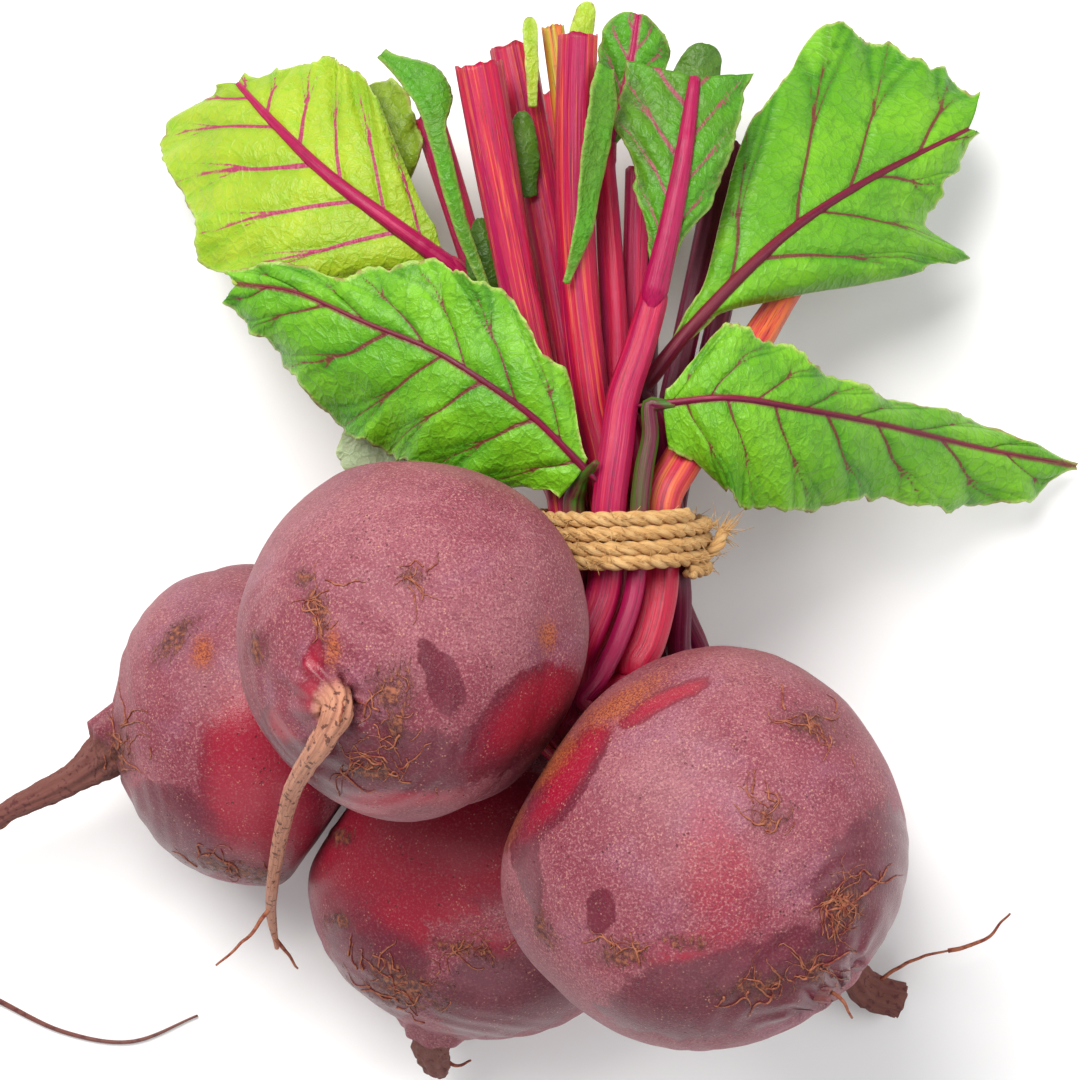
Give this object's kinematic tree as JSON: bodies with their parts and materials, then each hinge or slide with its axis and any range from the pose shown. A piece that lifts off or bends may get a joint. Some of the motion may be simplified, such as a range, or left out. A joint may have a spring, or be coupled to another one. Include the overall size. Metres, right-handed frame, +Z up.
{
  "type": "bunch of beetroot",
  "caption": "Bunch of round purple beetroots, tied with twine round the cut leaf stalks, with red-veined green leaves, lying on its side.",
  "frame": {"origin": "on the surface that the bunch lies on, under the middle of its bounding box", "axes": "+Z up from the surface, +Y along the stalks from the beets towards their cut ends, +X across, to the picture's right"},
  "size_m": [0.2414, 0.2212, 0.1191],
  "materials": {
    "beet": "dull waxy skin with moist crimson patches and brown corky marks",
    "stalk": "moist ribbed stalk, crimson to dark purple with paler streaks",
    "leaf": "puckered green blade with dark red veins",
    "twine": "hairy jute twine"
  },
  "bodies": {
    "root": {"beet_left": "beet", "beet_lower": "beet", "beet_right": "beet", "beet_under": "beet", "beet_upper": "beet", "leaf_back": "leaf", "leaf_brown": "leaf", "leaf_crumpled": "leaf", "leaf_dark": "leaf", "leaf_lower_right": "leaf", "leaf_mid_left": "leaf", "leaf_narrow": "leaf", "leaf_pale": "leaf", "leaf_shade": "leaf", "leaf_strip": "leaf", "leaf_tip": "leaf", "leaf_top": "leaf", "leaf_upper_left": "leaf", "leaf_upper_right": "leaf", "leaf_yellow": "leaf", "stalk_back_leaf": "stalk", "stalk_brown_leaf": "stalk", "stalk_dark_inner": "stalk", "stalk_dark_outer": "stalk", "stalk_far_left": "stalk", "stalk_front_left": "stalk", "stalk_front_middle": "stalk", "stalk_low_left": "stalk", "stalk_low_right": "stalk", "stalk_lower_right_leaf": "stalk", "stalk_mid_left_leaf": "stalk", "stalk_middle_left": "stalk", "stalk_orange": "stalk", "stalk_red": "stalk", "stalk_top_leaf": "stalk", "stalk_upper_left_leaf": "stalk", "stalk_upper_right_leaf": "stalk", "stalk_yellow": "stalk", "twine_tie": "twine"}
  },
  "joints": []
}
